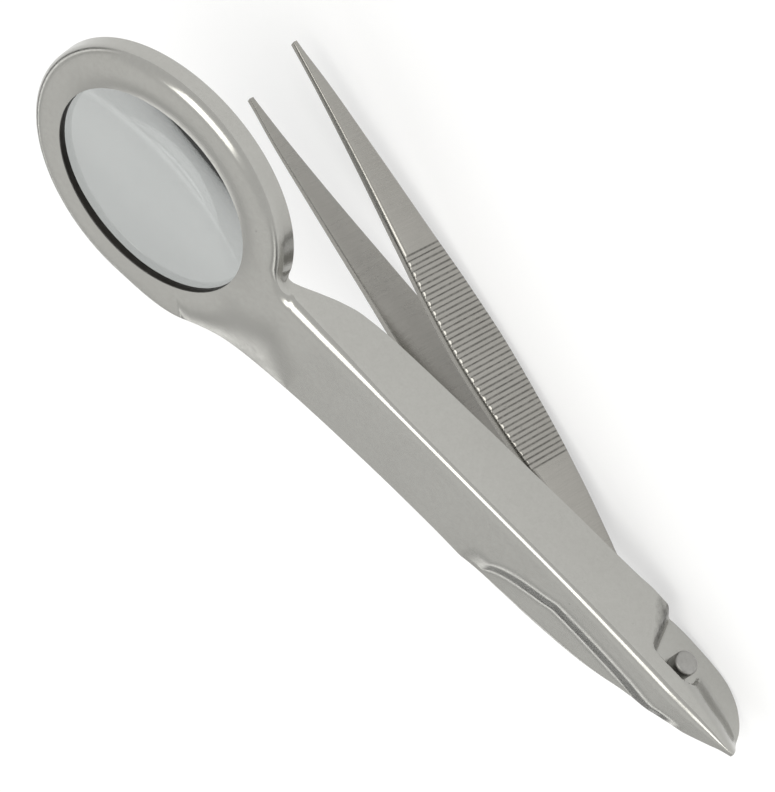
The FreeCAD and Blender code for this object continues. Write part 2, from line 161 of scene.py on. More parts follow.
# ---------------------------------------------------------------- small tools
def read(table, x):
    """Smooth reading of a table of (x, value) pairs that rise in x, with no overshoot."""
    if x <= table[0][0]:
        return table[0][1]
    if x >= table[-1][0]:
        return table[-1][1]
    i = next(k for k in range(len(table) - 1) if x <= table[k + 1][0])

    def run(k):
        return (table[k + 1][1] - table[k][1]) / (table[k + 1][0] - table[k][0])

    def slope(k):
        if k == 0 or k == len(table) - 1:
            return run(min(k, len(table) - 2))
        before, after = run(k - 1), run(k)
        if before * after <= 0:
            return 0.0
        return 2 * before * after / (before + after)

    x0, v0 = table[i]
    x1, v1 = table[i + 1]
    span = x1 - x0
    t = (x - x0) / span
    m0, m1 = slope(i) * span, slope(i + 1) * span
    return (
        (2 * t**3 - 3 * t**2 + 1) * v0 + (t**3 - 2 * t**2 + t) * m0
        + (-2 * t**3 + 3 * t**2) * v1 + (t**3 - t**2) * m1
    )


def ease(t):
    """A smooth step from 0 to 1."""
    t = min(1.0, max(0.0, t))
    return t * t * (3 - 2 * t)


def steps(first, last, count):
    """Evenly spaced values with both ends."""
    return [first + (last - first) * i / count for i in range(count + 1)]


def deselect():
    bpy.ops.object.select_all(action="DESELECT")


def only(obj):
    """Make one object the active and only selected one."""
    deselect()
    obj.select_set(True)
    bpy.context.view_layer.objects.active = obj


def apply_modifier(obj, kind, **settings):
    only(obj)
    modifier = obj.modifiers.new(kind.lower(), kind)
    for key, value in settings.items():
        setattr(modifier, key, value)
    bpy.ops.object.modifier_apply(modifier=modifier.name)


def round_edges(obj, width, segments=2, angle=50):
    apply_modifier(
        obj, "BEVEL", width=width * MM, segments=segments, limit_method="ANGLE",
        angle_limit=math.radians(angle), use_clamp_overlap=True,
    )


def cut_away(obj, cutter):
    """Take a closed cutter out of a piece, and the cutter out of the scene."""
    apply_modifier(obj, "BOOLEAN", operation="DIFFERENCE", object=cutter, solver="EXACT")
    bpy.data.objects.remove(cutter)


def smooth_shading(obj, angle=35):
    only(obj)
    bpy.ops.object.shade_smooth_by_angle(angle=math.radians(angle))


def formed_grid(name, columns):
    """A grid primitive whose points are moved onto a table of columns of (x, y, z) in mm."""
    deselect()
    rows, across = len(columns), len(columns[0])
    bpy.ops.mesh.primitive_grid_add(x_subdivisions=across - 1, y_subdivisions=rows - 1, size=1)
    obj = bpy.context.object
    obj.name = obj.data.name = name
    for j, column in enumerate(columns):
        for i, place in enumerate(column):
            obj.data.vertices[j * across + i].co = Vector(place) * MM
    return obj


def merge_close(obj, distance=0.002):
    only(obj)
    bpy.ops.object.mode_set(mode="EDIT")
    bpy.ops.mesh.select_all(action="SELECT")
    bpy.ops.mesh.remove_doubles(threshold=distance * MM)
    bpy.ops.object.mode_set(mode="OBJECT")


def corner(before, at, after, reach, count):
    """Points round one corner of an outline, that starts and ends `reach` from the corner."""
    into = [at[k] - before[k] for k in (0, 1)]
    out = [after[k] - at[k] for k in (0, 1)]
    long_in, long_out = math.hypot(*into), math.hypot(*out)
    reach = min(reach, 0.45 * long_in, 0.45 * long_out)
    a = [at[k] - into[k] / long_in * reach for k in (0, 1)]
    b = [at[k] + out[k] / long_out * reach for k in (0, 1)]
    cosine = (into[0] * out[0] + into[1] * out[1]) / (long_in * long_out)
    weight = math.sqrt(max(0.05, (1 + cosine) / 2))
    points = []
    for t in steps(0, 1, count):
        p, q, r = (1 - t) ** 2, 2 * weight * t * (1 - t), t * t
        points.append([(p * a[k] + q * at[k] + r * b[k]) / (p + q + r) for k in (0, 1)])
    return points


def run_to(start, end, count):
    """Points on a straight run, without its two ends."""
    return [[start[k] + (end[k] - start[k]) * t for k in (0, 1)] for t in steps(0, 1, count)[1:-1]]


def into_row():
    """Where the magnifier's own axes stand in the row frame at rest."""
    swing = Matrix.Rotation(math.radians(OPEN_ANGLE), 4, Vector((0, -1, 0)))
    return Matrix.Translation((0, (MID_PLANE - AXIAL_PLAY) * MM, 0)) @ swing


def lathe(name, profile, segments, place, close=False):
    """A turned piece: a circle that grows along Z through (radius, height) steps in mm."""
    deselect()
    first = profile[0]
    bpy.ops.mesh.primitive_circle_add(
        vertices=segments, radius=first[0] * MM, fill_type="NOTHING" if close else "NGON",
        location=(0, 0, first[1] * MM),
    )
    obj = bpy.context.object
    obj.name = obj.data.name = name
    only(obj)
    bpy.ops.object.transform_apply(location=True, rotation=False, scale=False)
    bpy.ops.object.mode_set(mode="EDIT")
    bpy.ops.mesh.select_all(action="SELECT")
    radius, height = first
    for new_radius, new_height in profile[1:]:
        shift = (0, 0, (new_height - height) * MM)
        if close:
            bpy.ops.mesh.extrude_edges_move(TRANSFORM_OT_translate={"value": shift})
        else:
            bpy.ops.mesh.extrude_region_move(TRANSFORM_OT_translate={"value": shift})
        share = new_radius / radius
        bpy.ops.transform.resize(
            value=(share, share, 1), center_override=(0, 0, new_height * MM),
        )
        radius, height = new_radius, new_height
    bpy.ops.mesh.select_all(action="SELECT")
    bpy.ops.mesh.remove_doubles(threshold=0.001 * MM)
    bpy.ops.mesh.normals_make_consistent(inside=False)
    bpy.ops.object.mode_set(mode="OBJECT")
    obj.data.transform(place)
    obj.data.update()
    return obj


# ---------------------------------------------------------------- the magnifier's pressed frame
# How many points the runs of one section have, and how many sections the fold, neck and ring have.
JOGGLE_STEPS, WEB_STEPS, CREASE_STEPS, FLANGE_STEPS = 8, 12, 12, 54
MARGIN_STEPS, SLOPE_STEPS = 6, 2
FOLD_STEPS, NECK_STEPS, RING_STEPS, EDGE_STEPS = 24, 20, 190, 36
# Where the sections' spacing along the handle changes, and how many follow each place.
STATION_RUNS = [
    (TAIL_END, 8), (TAIL_END + 0.25, 30), (-3.0, 78), (6.6, 60), (23.0, 26), (HANDLE_END, 0),
]


def flange_side(x, z):
    """Where the outer face of the flange and tail stands in Y, for a place in their side view."""
    side = -read(CREASE_SIDE, x)
    ramp = ease(0.5 + (RAMP_AT - RAMP_LEAN * z - x) / (2 * RAMP_HALF))
    low = side + (TAIL_LEVEL - side) * ramp
    top, foot = read(GROOVE_TOP, x), read(GROOVE_FOOT, x)
    fall = (top - z) / (top - foot)
    slope = 0.5 * ease(fall) + 0.5 * min(1.0, max(0.0, fall))
    y = side + (low - side) * slope
    wall = ease((POCKET_RADIUS + POCKET_WALL / 2 - math.hypot(x, z)) / POCKET_WALL)
    return y + (TAIL_LEVEL - y) * wall if TAIL_LEVEL > y else y


def handle_column(x):
    """The handle's outer surface at one X, from the web's edge over the crease to the free edge."""
    top = WEB_TOP - read(TOP_DROP, x)
    edge, side = read(WEB_EDGE, x), -read(CREASE_SIDE, x)
    head = min(read(BROW_LINE, x), edge - 0.3 * (edge - side))
    bend = min(head + JOGGLE_RUN, edge - 0.12 * (edge - head))
    fall = read(MARGIN_DROP, x) / JOGGLE_RUN
    margin = (edge, top - fall * min(JOGGLE_RUN, edge - head))
    foot, brow = (bend, top - fall * (bend - head)), (head, top)
    fold, low = (side, top), (side, read(FREE_EDGE, x))
    first = corner(margin, foot, brow, MARGIN_ROUND, JOGGLE_STEPS)
    second = corner(foot, brow, fold, BROW_ROUND, JOGGLE_STEPS)
    third = corner(brow, fold, low, read(CREASE_ROUND, x), CREASE_STEPS)
    points = [margin] + run_to(margin, first[0], MARGIN_STEPS) + first
    points += run_to(first[-1], second[0], SLOPE_STEPS) + second
    points += run_to(second[-1], third[0], WEB_STEPS) + third
    start = third[-1]
    for t in steps(0, 1, FLANGE_STEPS)[1:]:
        z = start[1] + (low[1] - start[1]) * t
        points.append((flange_side(x, z), z))
    return [(x, y, z) for y, z in points]


def crease_line(x):
    """Where the fold runs in the lens plane, straight from the handle to the neck."""
    return (x, -FOLD_SIDE + FOLD_SLOPE * (x - HANDLE_END))


def neck_and_ring(fillet):
    """The fold's plan from the handle to the neck, round the ring, as (place, outward normal)."""
    cx, cy = RING_AT
    low = crease_line(NECK_AT)[1] - fillet
    middle = (cx - math.sqrt((RING_RADIUS + fillet) ** 2 - (cy - low) ** 2), low)
    touch = math.atan2(middle[1] - cy, middle[0] - cx)
    path = []
    for x in steps(HANDLE_END, middle[0], FOLD_STEPS)[:-1]:
        path.append((crease_line(x), (0.0, -1.0)))
    for a in steps(math.pi / 2, touch + math.pi, NECK_STEPS)[:-1]:
        place = (middle[0] + fillet * math.cos(a), middle[1] + fillet * math.sin(a))
        path.append((place, (-math.cos(a), -math.sin(a))))
    for a in steps(touch + 2 * math.pi, SKIRT_END, RING_STEPS):
        place = (cx + RING_RADIUS * math.cos(a), cy + RING_RADIUS * math.sin(a))
        path.append((place, (math.cos(a), math.sin(a))))
    return path


def skirt_size(k, x, neck_x):
    """How low the flange or skirt reaches at one section, and how wide its fold is rounded."""
    past_fold, past_neck = k - FOLD_STEPS, k - FOLD_STEPS - NECK_STEPS
    if past_fold < 0:
        reach = NECK_REACH + (RING_REACH - NECK_REACH) * ease(k / FOLD_STEPS)
        return read(FREE_EDGE, x), reach
    if past_neck < 0:
        t = past_fold / NECK_STEPS
        begin = read(FREE_EDGE, neck_x)
        dip = NECK_DIP * ease(2 * min(t, 1 - t))
        return begin + (WEB_TOP - RING_DEPTH - begin) * ease(t) + dip, RING_REACH
    fade = ease((1 - past_neck / RING_STEPS) / SKIRT_FADE)
    return WEB_TOP - RING_DEPTH * fade, RING_REACH * fade


def ring_strip():
    """The crease, flange and ring skirt beyond the handle, then the web's plain edge."""
    upper, lower = neck_and_ring(NECK_TOP_FILLET), neck_and_ring(NECK_FOOT_FILLET)
    neck_x = lower[FOLD_STEPS][0][0]
    columns = []
    for k, (((ux, uy), (nx, ny)), ((lx, ly), _)) in enumerate(zip(upper, lower)):
        foot, reach = skirt_size(k, lx, neck_x)
        depth = WEB_TOP - foot
        reach = min(reach, 0.82 * depth)
        wide = 9.0  # any run that is longer than the fold's rounding
        ends = (-wide, WEB_TOP), (0.0, WEB_TOP), (0.0, WEB_TOP - wide)
        drops = corner(*ends, reach, CREASE_STEPS)
        for t in steps(0, 1, FLANGE_STEPS)[1:]:
            drops.append((0.0, WEB_TOP - reach - (depth - reach) * t))
        column = []
        for out, z in drops:
            share = ease(max(0.0, WEB_TOP - z) / max(depth, 0.01))
            x, y = ux + (lx - ux) * share, uy + (ly - uy) * share
            column.append((x + nx * out, y + ny * out, z))
        columns.append(column)
    for x in steps(WEB_EDGE[-1][0], HANDLE_END, EDGE_STEPS)[1:]:
        columns.append([(x, read(WEB_EDGE, x), WEB_TOP)] * len(columns[0]))
    return columns


def handle_stations():
    """Where the handle's sections stand along X, closest together at the tail."""
    stations = []
    for (start, count), (end, _) in zip(STATION_RUNS, STATION_RUNS[1:]):
        stations += steps(start, end, count)[:-1]
    return stations + [HANDLE_END]


def select_open_edges(obj, wires):
    """In edit mode, select the edges that have fewer than two faces."""
    only(obj)
    bpy.ops.object.mode_set(mode="EDIT")
    bpy.ops.mesh.select_mode(type="EDGE")
    bpy.ops.mesh.select_all(action="DESELECT")
    bpy.ops.mesh.select_non_manifold(
        extend=False, use_wire=wires, use_boundary=True, use_multi_face=False,
        use_non_contiguous=False, use_verts=False,
    )


def fill_plate(obj):
    """Fill the flat plate between the fold, the web's edge and the sight hole."""
    select_open_edges(obj, True)
    bpy.ops.object.mode_set(mode="OBJECT")
    mesh, near = obj.data, 0.01 * MM
    for edge in mesh.edges:
        if edge.select:
            ends = [mesh.vertices[v].co for v in edge.vertices]
            edge.select = all(
                abs(p.z - WEB_TOP * MM) < near and p.x > (HANDLE_END * MM - near) for p in ends
            )
    bpy.ops.object.mode_set(mode="EDIT")
    bpy.ops.mesh.fill(use_beauty=True)
    bpy.ops.mesh.select_all(action="SELECT")
    bpy.ops.mesh.normals_make_consistent(inside=False)
    bpy.ops.object.mode_set(mode="OBJECT")
    if max(mesh.polygons, key=lambda p: p.area).normal.z < 0:
        bpy.ops.object.mode_set(mode="EDIT")
        bpy.ops.mesh.select_all(action="SELECT")
        bpy.ops.mesh.flip_normals()
        bpy.ops.object.mode_set(mode="OBJECT")


def give_thickness(obj):
    """Thicken the sheet inwards, pinched thin at the tail's point."""
    sheet = obj.vertex_groups.new(name="sheet")
    for vertex in obj.data.vertices:
        sheet.add([vertex.index], ease((vertex.co.x / MM - TAIL_END) / TIP_PINCH), "REPLACE")
    apply_modifier(
        obj, "SOLIDIFY", thickness=SHEET * MM, offset=-1, use_rim=True,
        vertex_group="sheet", thickness_vertex_group=0.06,
    )
    round_edges(obj, 0.1, 2, 62)


def make_frame():
    """One sheet: web, joggled margin, crease, flange, tail and the ring that holds the lens."""
    handle = formed_grid("magnifier_frame", [handle_column(x) for x in handle_stations()])
    strip = formed_grid("ring_strip", ring_strip())
    deselect()
    bpy.ops.mesh.primitive_circle_add(
        vertices=160, radius=SIGHT_RADIUS * MM, location=Vector((*RING_AT, WEB_TOP)) * MM,
    )
    sight = bpy.context.object
    for piece in (handle, strip, sight):
        piece.select_set(True)
    bpy.context.view_layer.objects.active = handle
    bpy.ops.object.join()
    frame_piece = bpy.context.object
    merge_close(frame_piece, 0.004)
    fill_plate(frame_piece)
    give_thickness(frame_piece)
    cut_away(frame_piece, lathe("eye", [(EYE_RADIUS, 0), (EYE_RADIUS, 6)], 48, ALONG_RIVET))
    frame_piece.data.transform(into_row())
    smooth_shading(frame_piece, 42)
    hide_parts("lens_frame")
    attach(frame_piece, "magnifier")
    return frame_piece


# ---------------------------------------------------------------- the two strips
def ridge_cut(x):
    """How deep the grip's grooves are at one X."""
    phase = (x - RIDGE_START) / RIDGE_PITCH
    if not 0 <= phase <= RIDGE_COUNT:
        return 0.0
    return RIDGE_DEPTH * (0.5 - 0.5 * math.cos(2 * math.pi * phase))


def butt_half_width(x):
    """Half the width of a strip's butt: round about the rivet, then straight to the flexure."""
    shoulder = BUTT_RADIUS * math.cos(BUTT_SHOULDER)
    if x < shoulder:
        return math.sqrt(max(0.0, BUTT_RADIUS**2 - x * x))
    top = BUTT_RADIUS * math.sin(BUTT_SHOULDER)
    return top + (HALF_WIDTH[0][1] - top) * (x - shoulder) / (FLEXURE - shoulder)


def strip_column(x):
    """The section of the front strip at one X, as a closed loop of (x, y, z)."""
    if x < FLEXURE:
        outer, thick, half, crown = STRIP, STRIP, butt_half_width(x), EDGE_CROWN
    else:
        outer, half = read(BOW, x), read(HALF_WIDTH, x)
        thick = max(STRIP - THIN_BY * ease((x - THIN_FROM) / THIN_RUN), TIP_THICKNESS)
        crown = EDGE_CROWN + (GRIP_CROWN - EDGE_CROWN) * ease((x - FLEXURE) / CROWN_RUN)
    crown = min(crown, 0.8 * thick, 0.8 * half)
    crisp = min(CRISP_EDGE, 0.3 * half)
    inner = outer - thick
    loop = [(inner, -half), (inner, half), (outer, half), (outer, -half)]
    reach = [crisp, crisp, crown, crown]
    ring = []
    for k in range(4):
        here = corner(loop[k - 1], loop[k], loop[(k + 1) % 4], reach[k], 7)
        following = corner(loop[k], loop[(k + 1) % 4], loop[(k + 2) % 4], reach[(k + 1) % 4], 7)
        ring += here + run_to(here[-1], following[0], 3 if k % 2 else 5)
    floor_of_groove = outer - ridge_cut(x)
    return [(x, MID_PLANE - min(u, floor_of_groove), z) for u, z in ring + ring[:1]]


def strip_stations():
    """Where the strip's sections stand along X, twelve to each grip ridge."""
    round_end = [-BUTT_RADIUS * math.cos(math.radians(a)) for a in range(7, 90, 4)]
    ridges = steps(RIDGE_START, RIDGE_START + RIDGE_PITCH * RIDGE_COUNT, RIDGE_COUNT * 12)
    return (
        round_end + steps(0.1, FLEXURE, 18)[:-1] + steps(FLEXURE, RIDGE_START - 0.05, 40)
        + ridges + steps(ridges[-1] + 0.05, BOW[-1][0], 60)
    )


def make_strip(name, front, mount):
    """One strip from its round butt to its tip, with grip ridges across the outer face."""
    strip = formed_grid(name, [strip_column(x) for x in strip_stations()])
    merge_close(strip, 0.001)
    select_open_edges(strip, False)
    bpy.ops.mesh.fill_holes(sides=0)
    bpy.ops.object.mode_set(mode="OBJECT")
    if not front:
        # turned over about the middle plane's X axis
        over = Matrix.Rotation(math.pi, 4, "X")
        strip.data.transform(Matrix.Translation((0, 2 * MID_PLANE * MM, 0)) @ over)
    bpy.ops.object.mode_set(mode="EDIT")
    bpy.ops.mesh.select_all(action="SELECT")
    bpy.ops.mesh.normals_make_consistent(inside=False)
    bpy.ops.object.mode_set(mode="OBJECT")
    hole, sink = SHANK_RADIUS + HOLE_PLAY, SINK_RADIUS + HOLE_PLAY
    if front:
        bore = [(hole, -1.0), (hole, 4.0)]
    else:
        bore = [(sink, -SINK_DEPTH), (sink, 0.0), (hole, SINK_DEPTH), (hole, 3.2)]
    cut_away(strip, lathe("rivet_hole", bore, 64, ALONG_RIVET))
    round_edges(strip, 0.12, 3, 70)
    smooth_shading(strip, 38)
    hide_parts(*mount)
    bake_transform(strip)
    return strip


# ---------------------------------------------------------------- rivet, washer, lens and keeper
def make_rivet():
    """Countersunk at the back, with a tall round-shouldered head in the frame's pocket."""
    stack = 2 * STRIP + WASHER + SHEET + 2 * AXIAL_PLAY
    top = stack + HEAD_HEIGHT
    profile = [
        (SINK_RADIUS, 0.0), (SHANK_RADIUS, SINK_DEPTH), (SHANK_RADIUS, stack),
        (HEAD_RADIUS - HEAD_FOOT, stack), (HEAD_RADIUS, stack + HEAD_FOOT),
    ]
    for a in range(0, 91, 15):
        turn_in, rise = 1 - math.cos(math.radians(a)), math.sin(math.radians(a))
        profile.append((HEAD_RADIUS - HEAD_ROUND * turn_in, top - HEAD_ROUND * (1 - rise)))
    profile += [(0.5, top), (0.15, top)]
    rivet = lathe("rivet_pin", profile, 72, ALONG_RIVET)
    smooth_shading(rivet, 40)
    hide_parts("rivet")
    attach(rivet, "butt")
    return rivet


def flat_ring(name, outer, inner, low, high, place, round_by):
    """A flat ring with its four edges eased."""
    profile = [(outer, low), (outer, high), (inner, high), (inner, low), (outer, low)]
    ring = lathe(name, profile, 128, place, close=True)
    round_edges(ring, round_by, 2, 40)
    smooth_shading(ring, 35)
    return ring


def make_washer():
    """The thin washer between the front strip and the frame's tail."""
    place = Matrix.Translation((0, 2 * MID_PLANE * MM, 0)) @ ALONG_RIVET
    washer = flat_ring("thrust_washer", WASHER_RADIUS, EYE_RADIUS, 0.0, WASHER, place, 0.05)
    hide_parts("washer")
    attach(washer, "butt")
    return washer


def ring_axis():
    """Where the ring's axis stands in the row frame at rest."""
    return into_row() @ Matrix.Translation((RING_AT[0] * MM, RING_AT[1] * MM, 0))


def make_keeper():
    """The flat ring pressed into the cup behind the lens."""
    low = WEB_TOP - RING_DEPTH + KEEPER_RECESS
    high = low + KEEPER_THICKNESS
    keeper = flat_ring("lens_retainer", KEEPER_OUTER, KEEPER_INNER, low, high, ring_axis(), 0.08)
    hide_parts("lens_keeper")
    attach(keeper, "magnifier")
    return keeper


def make_lens():
    """Two shallow spherical faces with a ground edge."""
    def sag(radius):
        return LENS_CURVE - math.sqrt(LENS_CURVE**2 - radius**2)

    crown = WEB_TOP - SHEET - LENS_GAP + sag(SIGHT_RADIUS)
    low = crown - 2 * sag(LENS_RADIUS) - LENS_EDGE
    radii = [LENS_POLE] + steps(0.0, LENS_RADIUS - LENS_POLE, 30)[1:]
    lower = [(r, low + sag(r)) for r in radii]
    upper = [(r, crown - sag(r)) for r in reversed(radii)]
    ground = [
        (LENS_RADIUS, low + sag(LENS_RADIUS) + LENS_BEVEL),
        (LENS_RADIUS, crown - sag(LENS_RADIUS) - LENS_BEVEL),
    ]
    lens = lathe("magnifying_lens", lower + ground + upper, 160, ring_axis())
    smooth_shading(lens, 30)
    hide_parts("lens")
    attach(lens, "magnifier")
    return lens


# ---------------------------------------------------------------- finishes
def new_group(name, inputs, outputs):
    group = bpy.data.node_groups.new(name, "ShaderNodeTree")
    for label, kind, value in inputs:
        socket = group.interface.new_socket(name=label, in_out="INPUT", socket_type=kind)
        socket.default_value = value
    for label, kind in outputs:
        group.interface.new_socket(name=label, in_out="OUTPUT", socket_type=kind)
    nodes = group.nodes
    return group, nodes.new("NodeGroupInput"), nodes.new("NodeGroupOutput")


def maths(tree, operation, first, second=None, third=None, clamp=False):
    node = tree.nodes.new("ShaderNodeMath")
    node.operation, node.use_clamp = operation, clamp
    for i, value in enumerate((first, second, third)):
        if value is None:
            continue
        if isinstance(value, (int, float)):
            node.inputs[i].default_value = value
        else:
            tree.links.new(value, node.inputs[i])
    return node.outputs[0]


def noise(tree, vector, scale, detail=3.0, rough=0.55):
    node = tree.nodes.new("ShaderNodeTexNoise")
    node.noise_dimensions = "3D"
    for label, value in (("Scale", scale), ("Detail", detail), ("Roughness", rough)):
        if isinstance(value, (int, float)):
            node.inputs[label].default_value = value
        else:
            tree.links.new(value, node.inputs[label])
    tree.links.new(vector, node.inputs["Vector"])
    return node.outputs["Fac"]


def remap(tree, value, low, high, new_low, new_high):
    node = tree.nodes.new("ShaderNodeMapRange")
    node.clamp = True
    tree.links.new(value, node.inputs["Value"])
    for label, number in (
        ("From Min", low), ("From Max", high), ("To Min", new_low), ("To Max", new_high),
    ):
        node.inputs[label].default_value = number
    return node.outputs["Result"]


def scaled(tree, vector, scale):
    node = tree.nodes.new("ShaderNodeMapping")
    node.inputs["Scale"].default_value = scale
    tree.links.new(vector, node.inputs["Vector"])
    return node.outputs["Vector"]


def build_brushed():
    """Fine parallel lines left by a belt, drawn out along the mapped vector's short axes."""
    group, source, sink = new_group(
        "brushed_lines",
        [("Vector", "NodeSocketVector", (0, 0, 0)), ("Fineness", "NodeSocketFloat", 1.0),
         ("Depth", "NodeSocketFloat", 0.5)],
        [("Lines", "NodeSocketFloat"), ("Height", "NodeSocketFloat")],
    )
    coarse = noise(group, source.outputs["Vector"], source.outputs["Fineness"], 4.0, 0.7)
    finer = maths(group, "MULTIPLY", source.outputs["Fineness"], 3.1)
    fine = noise(group, source.outputs["Vector"], finer, 2.0, 0.6)
    both = maths(
        group, "ADD", maths(group, "MULTIPLY", coarse, 0.6), maths(group, "MULTIPLY", fine, 0.4),
    )
    lines = remap(group, both, 0.35, 0.65, 0.0, 1.0)
    group.links.new(lines, sink.inputs["Lines"])
    height = maths(group, "MULTIPLY", lines, source.outputs["Depth"])
    group.links.new(height, sink.inputs["Height"])
    return group


def build_handling():
    """Soft smudges and sparse small marks from use."""
    group, source, sink = new_group(
        "handling_marks",
        [("Vector", "NodeSocketVector", (0, 0, 0)), ("Amount", "NodeSocketFloat", 1.0)],
        [("Smudge", "NodeSocketFloat"), ("Specks", "NodeSocketFloat")],
    )
    amount = source.outputs["Amount"]
    soft = noise(group, source.outputs["Vector"], 110.0, 3.0, 0.6)
    smudge = maths(group, "MULTIPLY", remap(group, soft, 0.42, 0.72, 0.0, 1.0), amount)
    dots = noise(group, source.outputs["Vector"], 1500.0, 2.0, 0.5)
    specks = maths(group, "MULTIPLY", remap(group, dots, 0.74, 0.8, 0.0, 0.7), amount)
    group.links.new(smudge, sink.inputs["Smudge"])
    group.links.new(specks, sink.inputs["Specks"])
    return group


def build_shade_blot():
    """A dark blot of painted shade about one place, made patchy by fine grain."""
    group, source, sink = new_group(
        "painted_shade_blot",
        [("Vector", "NodeSocketVector", (0, 0, 0)), ("Place", "NodeSocketVector", (0, 0, 0)),
         ("Reach", "NodeSocketFloat", 0.002)],
        [("Mask", "NodeSocketFloat")],
    )
    away = group.nodes.new("ShaderNodeVectorMath")
    away.operation = "DISTANCE"
    group.links.new(source.outputs["Vector"], away.inputs[0])
    group.links.new(source.outputs["Place"], away.inputs[1])
    share = maths(group, "DIVIDE", away.outputs["Value"], source.outputs["Reach"])
    near = maths(group, "SUBTRACT", 1.0, share, clamp=True)
    grain = noise(group, source.outputs["Vector"], 1400.0, 4.0, 0.65)
    patchy = remap(group, grain, 0.3, 0.62, 0.15, 1.0)
    spread = maths(group, "MULTIPLY", maths(group, "POWER", near, 0.8), patchy)
    group.links.new(spread, sink.inputs["Mask"])
    return group


BRUSHED, HANDLING, SHADE_BLOT = build_brushed(), build_handling(), build_shade_blot()


def build_cup():
    """A mask of painted shade in the lens cup: the sight hole's wall and all under the plate."""
    group, source, sink = new_group(
        "cup_shade", [("Vector", "NodeSocketVector", (0, 0, 0))], [("Mask", "NodeSocketFloat")],
    )
    axis = into_row().to_3x3() @ Vector((0, 0, 1))
    centre = into_row() @ (Vector((*RING_AT, WEB_TOP)) * MM)
    nodes, links = group.nodes, group.links

    def vector(operation, first, second):
        node = nodes.new("ShaderNodeVectorMath")
        node.operation = operation
        for i, value in enumerate((first, second)):
            if isinstance(value, bpy.types.NodeSocket):
                links.new(value, node.inputs[i])
            else:
                node.inputs[i].default_value = value
        return node.outputs["Value" if operation in ("DOT_PRODUCT", "LENGTH") else "Vector"]

    offset = vector("SUBTRACT", source.outputs["Vector"], centre)
    height = vector("DOT_PRODUCT", offset, axis)
    radius = vector("LENGTH", vector("CROSS_PRODUCT", offset, axis), (0, 0, 0))
    hole = maths(
        group, "MULTIPLY", remap(group, height, -0.14 * MM, -0.09 * MM, 0.9, 0.0),
        remap(group, radius, (SIGHT_RADIUS + 0.03) * MM, (SIGHT_RADIUS + 0.08) * MM, 1.0, 0.0),
    )
    inner = remap(group, radius, (RING_RADIUS - 0.62) * MM, (RING_RADIUS - 0.55) * MM, 1.0, 0.0)
    under = remap(group, height, -0.6 * MM, -0.5 * MM, 0.25, 0.0)
    mask = maths(group, "MAXIMUM", hole, maths(group, "MULTIPLY", inner, under))
    links.new(mask, sink.inputs["Mask"])
    return group


def build_ridge_shade():
    """Painted shade on the two steep flanks of each grip groove, on the outer face."""
    group, source, sink = new_group(
        "ridge_flank_shade",
        [("Vector", "NodeSocketVector", (0, 0, 0)), ("Normal", "NodeSocketVector", (0, 0, 0))],
        [("Mask", "NodeSocketFloat")],
    )
    parts = group.nodes.new("ShaderNodeSeparateXYZ")
    group.links.new(source.outputs["Vector"], parts.inputs["Vector"])
    facing = group.nodes.new("ShaderNodeSeparateXYZ")
    group.links.new(source.outputs["Normal"], facing.inputs["Vector"])
    along = maths(group, "SUBTRACT", parts.outputs["X"], RIDGE_START * MM)
    phase = maths(group, "DIVIDE", along, RIDGE_PITCH * MM)
    across = maths(group, "ABSOLUTE", maths(group, "SUBTRACT", maths(group, "FRACT", phase), 0.5))
    wall = remap(group, across, 0.13, 0.21, 0.0, 1.0)
    crest = remap(group, across, 0.28, 0.37, 1.0, 0.0)
    inside = maths(
        group, "MULTIPLY", maths(group, "GREATER_THAN", phase, 0.0),
        maths(group, "LESS_THAN", phase, float(RIDGE_COUNT)),
    )
    side = maths(group, "SIGN", maths(group, "ADD", parts.outputs["Y"], STRIP * MM))
    outer = maths(
        group, "GREATER_THAN", maths(group, "MULTIPLY", facing.outputs["Y"], side), 0.25,
    )
    grain = remap(group, noise(group, source.outputs["Vector"], 2200.0, 3.0), 0.3, 0.6, 0.55, 1.0)
    flank = maths(group, "MULTIPLY", wall, crest)
    mask = maths(group, "MULTIPLY", flank, maths(group, "MULTIPLY", inside, outer))
    group.links.new(maths(group, "MULTIPLY", mask, grain), sink.inputs["Mask"])
    return group


CUP, RIDGE_SHADE = build_cup(), build_ridge_shade()


def use(tree, group, **values):
    node = tree.nodes.new("ShaderNodeGroup")
    node.node_tree = group
    for label, value in values.items():
        if isinstance(value, bpy.types.NodeSocket):
            tree.links.new(value, node.inputs[label])
        else:
            node.inputs[label].default_value = value
    return node


def mix_colour(tree, share, first, second):
    node = tree.nodes.new("ShaderNodeMix")
    node.data_type = "RGBA"
    tree.links.new(share, node.inputs["Factor"])
    for index, value in ((6, first), (7, second)):
        if isinstance(value, bpy.types.NodeSocket):
            tree.links.new(value, node.inputs[index])
        else:
            node.inputs[index].default_value = (*value, 1)
    return node.outputs[2]


# Painted shade: dark blots in the crease at the foot of the ramp, in the lens cup and between the
# grip ridges.
SHADE_BLOT_TONE, CUP_SHADE_TONE = (0.045, 0.043, 0.04), (0.026, 0.021, 0.018)
GROOVE_SHADE_TONE, GROOVE_SHADE_SHARE = (0.06, 0.058, 0.053), 0.75
BUMP_STRENGTH, BUMP_REACH = 0.2, 0.03 * MM


